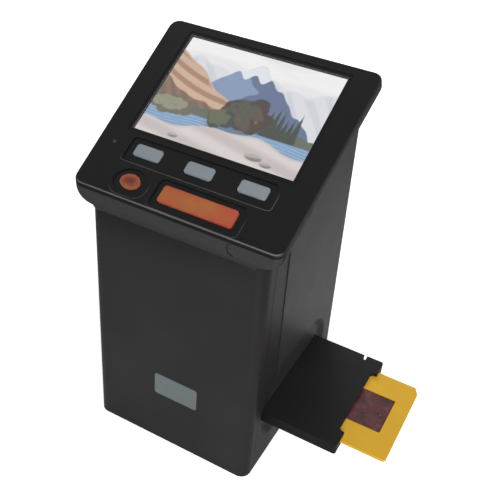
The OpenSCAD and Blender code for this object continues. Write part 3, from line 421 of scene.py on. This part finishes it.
RUBBER = (0.012, 0.012, 0.012)


def rubber(name):
    """Matt rubber with a dusty bloom and fine pores."""
    look = Look(name)
    dust = look.noise(300, detail=5)
    tint = look.ramp(dust, [(0.35, scaled(RUBBER, 0.8)), (0.75, scaled(RUBBER, 1.5))])
    pores = look.bump(look.noise(2600, detail=2), 0.3, GRAIN_DEPTH)
    look.surface(tint, look.spread(dust, 0.75, 0.9), pores, Specular_IOR_Level=0.2)
    return look.material


HOME = dict(
    edge=(0.42, 0.13, 0.06), core=(0.12, 0.008, 0.004), stops=(0.3, 0.85),
    middle=centre(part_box("home_button")), reach=(6.8 * MM, 4.6 * MM, 6 * MM))
CAPTURE = dict(
    edge=(0.47, 0.075, 0.045), core=(0.43, 0.15, 0.04), stops=(0.3, 1.15),
    middle=centre(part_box("capture_button")) - 4 * MM * ACROSS, reach=(30 * MM, 7 * MM, 8 * MM))
CLOUDING = 0.55                    # how far the clouds shift the change of colour
KEY_GRAIN_DEPTH = 0.03 * MM
LIGHT_DEPTH = 1 * MM               # how far light spreads in the plastic


def clouded_key(name, edge, core, stops, middle, reach):
    """Translucent key, its colour clouded and changing towards its middle."""
    look = Look(name)
    ball = look.node("TexGradient", gradient_type="SPHERICAL")
    look.link(look.slope_frame(middle, reach), ball.inputs["Vector"])
    cloud = look.math("MULTIPLY_ADD", look.noise(160, detail=2), CLOUDING, ball.outputs["Fac"])
    tint = look.ramp(cloud, [(stops[0], edge), (stops[1], core)])
    normal = look.bump(look.noise(1800, detail=2), 0.1, KEY_GRAIN_DEPTH)
    look.surface(tint, look.spread(look.noise(500), 0.28, 0.4), normal,
                 Specular_IOR_Level=0.3, Subsurface_Weight=0.2, Subsurface_Scale=LIGHT_DEPTH)
    return look.material


# ---------- metal, glass, film and boards ----------

STEEL = (0.55, 0.56, 0.58)
BLACKENED = (0.03, 0.03, 0.032)
SOLDER_MASK = (0.012, 0.12, 0.045)
WHITE_MASK = (0.62, 0.62, 0.6)

STREAK_DEPTH = 0.02 * MM
TRACK_DEPTH = 0.03 * MM
COVER_DEPTH = 0.05 * MM
FILM_DEPTH = 0.3 * MM              # of the slow waves that the film lies in

BORDER = 1.5 * MM                  # black print around the display's cover
BORDER_BLUR = 0.05 * MM
BORDER_ROUGHNESS = 0.42

DARK_DYE, RED_DYE, PINK_DYE = (0.03, 0.006, 0.007), (0.085, 0.018, 0.02), (0.14, 0.035, 0.055)
FLECK = (0.45, 0.33, 0.36)


def brushed_metal(name, colour, stretch):
    """Metal with fine streaks in its tone and gloss."""
    look = Look(name)
    streaks = look.noise(120, detail=4, stretch=stretch)
    tint = look.ramp(streaks, [(0.3, scaled(colour, 0.86)), (0.7, scaled(colour, 1.08))])
    normal = look.bump(streaks, 0.15, STREAK_DEPTH)
    look.surface(tint, look.spread(streaks, 0.26, 0.4), normal, Metallic=1)
    return look.material


def clear_cover(name):
    """Clear hard cover with a black printed border and faint wipe marks in its gloss."""
    look = Look(name)
    low, high = slope_box("display_window")
    place = look.split(look.slope_frame(slope_point(*centre((low, high)))))
    beyond = [look.step(look.math("ABSOLUTE", place[axis]), edge - BORDER_BLUR, edge + BORDER_BLUR)
              for axis, edge in zip("XY", (high - low) / 2 - BORDER)]
    border = look.math("MAXIMUM", *beyond)
    wipes = look.noise(60, detail=6, stretch=(1, 6, 1))
    clear = look.ramp(wipes, [(0.2, (0.97, 0.98, 0.98)), (0.8, (1, 1, 1))])
    printed = look.spread(border, 0, BORDER_ROUGHNESS)
    rough = look.math("MAXIMUM", look.spread(wipes, 0.01, 0.05), printed)
    normal = look.bump(look.noise(25, detail=1), 0.02, COVER_DEPTH)
    made = look.surface(look.blend(border, clear, PLATE), rough, normal, IOR=1.46)
    look.link(look.spread(border, 1, 0), made.inputs["Transmission Weight"])
    look.link(look.spread(border, 0.5, PLATE_GLOSS), made.inputs["Specular IOR Level"])
    return look.material


def lens_glass(name):
    """Glass with a coating that tints it unevenly."""
    look = Look(name)
    coat = look.ramp(look.noise(90), [(0.3, (0.86, 0.92, 1.0)), (0.7, (0.95, 0.9, 1.0))])
    look.surface(coat, look.spread(look.noise(300), 0.01, 0.03), Transmission_Weight=0.9, IOR=1.6)
    return look.material


def film(name):
    """Developed transparency: dense dye clouds and a few pale flecks, on clear film."""
    look = Look(name)
    cloud = look.noise(170, detail=5, roughness=0.62)
    dyes = look.ramp(cloud, [(0.34, DARK_DYE), (0.5, RED_DYE), (0.66, PINK_DYE)])
    flecks = look.step(look.noise(700, detail=2, roughness=0.7, offset=(5, 3, 0)), 0.69, 0.78)
    waves = look.bump(look.noise(45, detail=1), 0.25, FILM_DEPTH)
    look.surface(look.blend(flecks, dyes, FLECK), look.spread(look.noise(300), 0.3, 0.42), waves,
                 Specular_IOR_Level=0.3, Transmission_Weight=0.05)
    return look.material


def circuit_board(name, colour):
    """Solder mask over faint copper tracks."""
    look = Look(name)
    tracks = look.node("TexBrick")
    tracks.inputs["Scale"].default_value = 260
    for part, share in (("Color1", 1), ("Color2", 1.5), ("Mortar", 0.55)):
        tracks.inputs[part].default_value = (*scaled(colour, share), 1)
    look.link(look.coords, tracks.inputs["Vector"])
    look.surface(tracks.outputs["Color"], look.spread(look.noise(400), 0.25, 0.4),
                 look.bump(tracks.outputs["Fac"], 0.2, TRACK_DEPTH))
    return look.material


# ---------- dressing the nodes ----------

def make_materials():
    """All materials, by slot."""
    made = {slot: moulded(slot, **settings) for slot, settings in MOULDED.items()}
    made["housing"] = housing_plastic("housing")
    made["bezel"] = plate_plastic("bezel")
    made["rubber"] = rubber("rubber")
    made["home_key"] = clouded_key("home_key", **HOME)
    made["capture_key"] = clouded_key("capture_key", **CAPTURE)
    made["steel"] = brushed_metal("steel", STEEL, stretch=(1, 40, 40))
    made["lens_black"] = brushed_metal("lens_black", BLACKENED, stretch=(1, 1, 20))
    made["screen_cover"] = clear_cover("screen_cover")
    made["lens_glass"] = lens_glass("lens_glass")
    made["film"] = film("film")
    made["circuit_board"] = circuit_board("circuit_board", SOLDER_MASK)
    made["white_board"] = circuit_board("white_board", WHITE_MASK)
    return made


def dress_nodes(materials):
    """Gives every CAD node the material of its slot in the record."""
    slots = {row["node"]: row["material_slot"] for row in frame["record"]["subparts"]}
    for node, obj in frame["nodes"].items():
        obj.data.materials.clear()
        obj.data.materials.append(materials[slots[node]])


SOFT_EDGES = {                     # widths in mm
    "front_housing": 0.35, "rear_housing": 0.35, "top_bezel": 0.16,
    "base_cover": 0.2, "front_badge": 0.12,
    "tray_base": 0.25, "tray_cover": 0.25, "slide_mount": 0.18,
    "key_left": 0.15, "key_centre": 0.15, "key_right": 0.15,
    "home_button": 0.12, "capture_button": 0.15, "power_button": 0.15,
}
CREASE = math.radians(32)


def soften_edges():
    """Rounds the crisp edges that catch the light."""
    for node, width in SOFT_EDGES.items():
        bevel = frame["nodes"][node].modifiers.new("soft_edge", "BEVEL")
        bevel.width = width * MM
        bevel.segments = 2
        bevel.limit_method = "ANGLE"
        bevel.angle_limit = CREASE
        bevel.use_clamp_overlap = True
        bevel.harden_normals = False


# ---------- picture on the display ----------

PAINT = {                          # display values from 0 to 255
    "sky": (232, 231, 235), "cloud": (248, 246, 244),
    "far_ridge": (220, 221, 227), "gully": (203, 206, 215),
    "peak": (128, 148, 182), "peak_shade": (92, 108, 142), "snow": (226, 228, 236),
    "hill": (204, 172, 148), "strata": (166, 126, 100),
    "slope": (136, 104, 86), "slope_shade": (112, 92, 78),
    "far_wood": (92, 100, 88), "fir": (52, 60, 50),
    "water": (118, 152, 190), "ripple": (164, 190, 214), "reflection": (74, 92, 116),
    "sand": (196, 186, 184), "pale_sand": (216, 208, 206),
    "scrub": (104, 100, 84), "lit_scrub": (142, 140, 118),
    "thicket": (62, 48, 42), "lit_thicket": (84, 72, 56), "leaves": (58, 78, 68),
    "bush": (48, 64, 58), "lit_bush": (92, 96, 70),
    "stone": (134, 124, 120), "stone_top": (176, 168, 164),
}
GAMMA = 2.2
SEED = 7

CLOUDS = ((0.93, 0.05), (0.86, 0.03))               # height, and mean reach up and down
SHORE = 0.3
PEAK_PLACE, PEAK_TOP, SNOW_LINE = 0.5, 0.9, 0.76
FIR_PLACES = np.linspace(0.7, 0.86, 6)
FIR_HEIGHT, FIR_WIDTH, FIR_TIERS = 0.24, 0.03, 6
BUSHES = (                         # middle, reach, size of its rounds, layers from the back
    ((0.13, 0.33), (0.12, 0.06), 0.032, ("scrub", "lit_scrub")),
    ((0.56, 0.42), (0.12, 0.15), 0.04, ("thicket", "lit_thicket", "leaves")),
    ((0.44, 0.33), (0.06, 0.08), 0.03, ("bush", "lit_bush")),
)
ROUNDS = 46                        # in one layer of a bush
STONES = ((0.72, 0.11, 0.05), (0.8, 0.08, 0.035), (0.24, 0.08, 0.03))       # across, up, size


class Landscape:
    """A lake below pale mountains, painted from back to front for x and y from 0 to 1. Lines and
    places in it are shares of its sides."""

    def __init__(self, x, y):
        self.x = x
        self.y = y
        self.rng = np.random.default_rng(SEED)
        self.colours = np.zeros(x.shape + (3,))

    def lay(self, paint, edge, softness=0.006, most=1.0):
        """Lays a paint where the edge value is positive."""
        linear = (np.array(PAINT[paint]) / 255) ** GAMMA
        amount = (np.clip(edge / softness + 0.5, 0, 1) * most)[..., None]
        self.colours = self.colours * (1 - amount) + linear * amount

    def wave(self, *terms):
        """Sum of sines along x, each of a size, a pace and a start."""
        return sum(size * np.sin(pace * self.x + start) for size, pace, start in terms)

    def under(self, height, rise, *terms):
        """How far each point lies under a wavy line that rises to the right."""
        return height + rise * self.x + self.wave(*terms) - self.y

    def sky(self):
        self.lay("sky", np.ones(self.x.shape))
        for height, reach in CLOUDS:
            away = abs(self.y - height - 0.03 * np.sin(6 * self.x))
            self.lay("cloud", reach * (1 + np.sin(9 * self.x + 40 * height)) - away, 0.05, 0.7)

    def far_ridge(self):
        ridge = self.under(0.73, 0.1, (0.05, 5, 1.0), (0.03, 13, 0.3), (0.012, 41, 2.0))
        self.lay("far_ridge", ridge)
        gullies = np.sin(75 * self.x + 28 * self.y + 3 * np.sin(11 * self.x)) - 0.35
        self.lay("gully", np.minimum(gullies * 0.05, ridge - 0.02), 0.03, 0.8)

    def peak(self):
        crest = self.under(PEAK_TOP, 0, (0.015, 37, 0.5), (0.008, 83, 1.0))
        peak = crest - 1.15 * abs(self.x - PEAK_PLACE)
        self.lay("peak", peak)
        shade = self.x - PEAK_PLACE - 0.05 * np.sin(22 * self.y) - 0.012 * np.sin(61 * self.y)
        self.lay("peak_shade", np.minimum(peak, shade))
        self.lay("snow", np.minimum(peak, self.y - SNOW_LINE + self.wave((0.03, 60, 0))))

    def hill(self):
        hill = self.under(0.83, -0.72, (0.03, 11, 0.4), (0.012, 31, 1.4))
        self.lay("hill", hill)
        strata = np.sin(62 * (self.y + 0.35 * self.x) + 2.2 * np.sin(7 * self.x))
        self.lay("strata", np.minimum(hill - 0.02, strata * 0.03 - 0.004), 0.02)
        slope = self.under(0.56, -0.5, (0.02, 17, 2.0), (0.01, 47, 0.0))
        self.lay("slope", slope)
        self.lay("slope_shade", np.minimum(slope, 0.01 * np.sin(90 * self.x + 40 * self.y)), 0.02)

    def woods(self):
        self.lay("far_wood", self.under(SHORE + 0.07, 0, (0.012, 23, 0.0), (0.008, 71, 1.0)))
        for place in FIR_PLACES:
            level = (self.y - SHORE) / (FIR_HEIGHT * self.rng.uniform(0.7, 1.2))
            tiers = 0.75 + 0.25 * (level * FIR_TIERS % 1)
            inside = FIR_WIDTH * (1 - level) * tiers - abs(self.x - place)
            self.lay("fir", np.minimum(inside, self.y - SHORE), 0.004)

    def lake(self):
        water = SHORE - self.y
        self.lay("water", water)
        ripples = np.sin(260 * self.y + 3 * np.sin(14 * self.x)) * 0.02 - 0.006
        self.lay("ripple", np.minimum(ripples, water - 0.01), 0.02, 0.6)
        mirrored = 0.12 - abs(self.x - PEAK_PLACE) + 0.01 * np.sin(120 * self.y)
        self.lay("reflection", np.minimum(water, mirrored), 0.03, 0.7)

    def beach(self):
        sand = self.under(0.2, 0, (0.05, 6, 4.4), (0.015, 19, 0.6)) + 0.06 * abs(self.x - 0.35)
        self.lay("sand", sand)
        dunes = 0.02 * np.sin(34 * self.y + 9 * self.x)
        self.lay("pale_sand", np.minimum(sand - 0.012, dunes), 0.03)

    def clumps(self, middle, reach, size):
        """How far each point lies inside any of many small rounds."""
        inside = np.full(self.x.shape, -1.0)
        for across, up, share in self.rng.uniform((-1, -1, 0.5), (1, 1, 1.3), (ROUNDS, 3)):
            lift = up * math.sqrt(1 - across * across)
            gap = np.hypot(self.x - middle[0] - across * reach[0], self.y - middle[1] - lift * reach[1])
            inside = np.maximum(inside, size * share - gap)
        return inside

    def bushes(self):
        """Each layer is smaller than the one behind it, and moves up and to the left."""
        for middle, reach, size, layers in BUSHES:
            for level, paint in enumerate(layers):
                moved = (middle[0] - 0.012 * level, middle[1] + 0.02 * level)
                shrunk = (reach[0] * (1 - 0.2 * level), reach[1] * (1 - 0.15 * level))
                self.lay(paint, self.clumps(moved, shrunk, size * (1 - 0.35 * level)))

    def stones(self):
        for across, up, size in STONES:
            stone = size - np.hypot(self.x - across, (self.y - up) * 1.7)
            self.lay("stone", stone)
            self.lay("stone_top", np.minimum(stone, self.y - up - 0.2 * (self.x - across)))


def paint_landscape(x, y):
    """Linear colours of the whole picture."""
    view = Landscape(x, y)
    for paint in (view.sky, view.far_ridge, view.peak, view.hill, view.woods, view.lake,
                  view.beach, view.bushes, view.stones):
        paint()
    return view.colours


PICTURE_COLUMNS, PICTURE_ROWS = 300, 212
PICTURE_INSET = 0.3 * MM           # from the edge of the display's cover
PICTURE_LIFT = 0.3 * MM            # over the display's panel
PANEL_ROWS = 900                   # scale of the bands, per metre


def lit_picture(name):
    """The lit picture: its colours are in the mesh, with the panel's fine rows over them."""
    look = Look(name)
    paint = look.node("VertexColor", layer_name="Picture")
    rows = look.node("TexWave", wave_type="BANDS", bands_direction="X")
    rows.inputs["Scale"].default_value = PANEL_ROWS
    look.link(look.coords, rows.inputs["Vector"])
    lit = look.node("Emission")
    look.link(paint.outputs["Color"], lit.inputs["Color"])
    look.link(look.spread(rows.outputs["Fac"], 0.93, 1.0), lit.inputs["Strength"])
    look.link(lit.outputs["Emission"], look.out.inputs["Surface"])
    return look.material


def picture_mesh():
    """Sheet on the display's panel, with the landscape in its colours."""
    panel_top = slope_box("display_panel")[1][2]
    low, high = slope_box("display_window")
    counts = (PICTURE_COLUMNS, PICTURE_ROWS)
    sides = [np.linspace(low[axis] + PICTURE_INSET, high[axis] - PICTURE_INSET, count)
             for axis, count in enumerate(counts)]
    across, up = np.meshgrid(*sides)
    level = np.full_like(across, panel_top + PICTURE_LIFT)
    points = np.stack([across, up, level], -1).reshape(-1, 3) @ SLOPE_AXES
    corners = (0, 1, PICTURE_COLUMNS + 1, PICTURE_COLUMNS)
    faces = [[row * PICTURE_COLUMNS + column + corner for corner in corners]
             for row in range(PICTURE_ROWS - 1) for column in range(PICTURE_COLUMNS - 1)]
    mesh = bpy.data.meshes.new("display_picture")
    mesh.from_pydata(points.tolist(), [], faces)

    shares = np.meshgrid(*(np.linspace(0, 1, count) for count in counts))
    colours = paint_landscape(*shares).reshape(-1, 3)
    layer = mesh.color_attributes.new("Picture", "FLOAT_COLOR", "POINT")
    layer.data.foreach_set("color", np.hstack([colours, np.ones((len(colours), 1))]).ravel())
    return mesh


def make_picture():
    obj = add_object("display_picture", picture_mesh())
    obj.data.materials.append(lit_picture("display_picture"))
    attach(obj, "tower")


# ---------- floor and world ----------

FLOOR_HALF = 3.0
FLOOR_GREYS = (0.93, 0.95)
FLOOR_GLOW = (0.65, 1.1)           # what the floor adds for the camera, near and far
SWEEP = (0.15, 0.45)               # the glow goes from near to far between these distances

FILL = 0.1
FILL_TINT = (0.96, 0.98, 1.0, 1)
WHITE = (1, 1, 1, 1)


def floor_material(name):
    """Pale sweep that keeps the shadow and goes to white around it."""
    look = Look(name)
    dark, light = FLOOR_GREYS
    tint = look.ramp(look.noise(6, detail=2), [(0.3, (dark, dark, dark)), (0.7, (light, light, light))])
    far = look.step(look.vector("LENGTH", look.coords), *SWEEP)
    seen = look.node("LightPath").outputs["Is Camera Ray"]
    lit, glow, both = look.node("BsdfDiffuse"), look.node("Emission"), look.node("AddShader")
    look.link(look.product(seen, look.spread(far, *FLOOR_GLOW)), glow.inputs["Strength"])
    for part, place in ((lit, both.inputs[0]), (glow, both.inputs[1])):
        look.link(tint, part.inputs["Color"])
        look.link(part.outputs[0], place)
    look.link(both.outputs[0], look.out.inputs["Surface"])
    return look.material


def make_floor():
    corners = [(x * FLOOR_HALF, y * FLOOR_HALF, 0) for x, y in ((-1, -1), (1, -1), (1, 1), (-1, 1))]
    mesh = bpy.data.meshes.new("floor")
    mesh.from_pydata(corners, [], [(0, 1, 2, 3)])
    floor = add_object("floor", mesh)
    floor.data.materials.append(floor_material("floor"))


def make_world():
    """White for the camera, mirror and glass rays, and a faint fill for the rest."""
    world = bpy.data.worlds.new("studio")
    world.use_nodes = True
    tree = world.node_tree
    tree.nodes.clear()

    def background(colour, strength):
        made = add_node(tree, "Background")
        made.inputs["Color"].default_value = colour
        made.inputs["Strength"].default_value = strength
        return made.outputs[0]

    rays = add_node(tree, "LightPath").outputs
    seen = rays["Is Camera Ray"]
    for kind in ("Is Glossy Ray", "Is Transmission Ray"):
        either = add_node(tree, "Math", operation="MAXIMUM")
        tree.links.new(seen, either.inputs[0])
        tree.links.new(rays[kind], either.inputs[1])
        seen = either.outputs[0]
    mix = add_node(tree, "MixShader")
    tree.links.new(seen, mix.inputs["Fac"])
    tree.links.new(background(FILL_TINT, FILL), mix.inputs[1])
    tree.links.new(background(WHITE, 1), mix.inputs[2])
    tree.links.new(mix.outputs[0], add_node(tree, "OutputWorld").inputs["Surface"])
    bpy.context.scene.world = world


# ---------- lamps and camera ----------

LAMP_TARGET = Vector((0, 0, 0.07))
LAMP_SIZE = 0.3
LAMPS = (                          # name, place, level at which it lights a white face turned to it
    ("right_softbox", (0.45, 0.1, 0.24), 0.46),
    ("front_softbox", (0.28, -0.5, 0.36), 0.8),
    ("rear_softbox", (-0.3, 0.45, 0.5), 0.24),
)

CAMERA_PLACE = (0.105798, -0.248073, 0.298148)
CAMERA_AZIMUTH, CAMERA_ELEVATION, CAMERA_ROLL = (math.radians(a) for a in (25.54, 36.521, 4.945))
CAMERA_LENS, CAMERA_SENSOR = 53.44, 36              # in mm
CAMERA_CLIP = (0.01, 20)


def make_lamps():
    for name, place, level in LAMPS:
        towards = LAMP_TARGET - Vector(place)
        data = bpy.data.lights.new(name, "AREA")
        data.size = LAMP_SIZE
        data.energy = level * (math.pi * towards.length) ** 2
        lamp = add_object(name, data)
        lamp.location = place
        lamp.rotation_euler = towards.to_track_quat("-Z", "Y").to_euler()


def camera_turn():
    """Rotation of the camera, which looks along its own -Z."""
    back = Vector((math.sin(CAMERA_AZIMUTH) * math.cos(CAMERA_ELEVATION),
                   -math.cos(CAMERA_AZIMUTH) * math.cos(CAMERA_ELEVATION),
                   math.sin(CAMERA_ELEVATION)))
    right = Vector((0, 0, 1)).cross(back).normalized()
    up = back.cross(right)
    rolled_right = math.cos(CAMERA_ROLL) * right + math.sin(CAMERA_ROLL) * up
    rolled_up = math.cos(CAMERA_ROLL) * up - math.sin(CAMERA_ROLL) * right
    return Matrix((rolled_right, rolled_up, back)).transposed().to_4x4()


def make_camera():
    data = bpy.data.cameras.new("camera")
    data.lens = CAMERA_LENS
    data.sensor_width = CAMERA_SENSOR
    data.clip_start, data.clip_end = CAMERA_CLIP
    camera = add_object("camera", data)
    camera.matrix_world = Matrix.Translation(CAMERA_PLACE) @ camera_turn()
    bpy.context.scene.camera = camera


# ---------- the scene ----------

bpy.context.scene.view_settings.view_transform = "Standard"
dress_nodes(make_materials())
soften_edges()
make_picture()
make_floor()
make_world()
make_lamps()
make_camera()
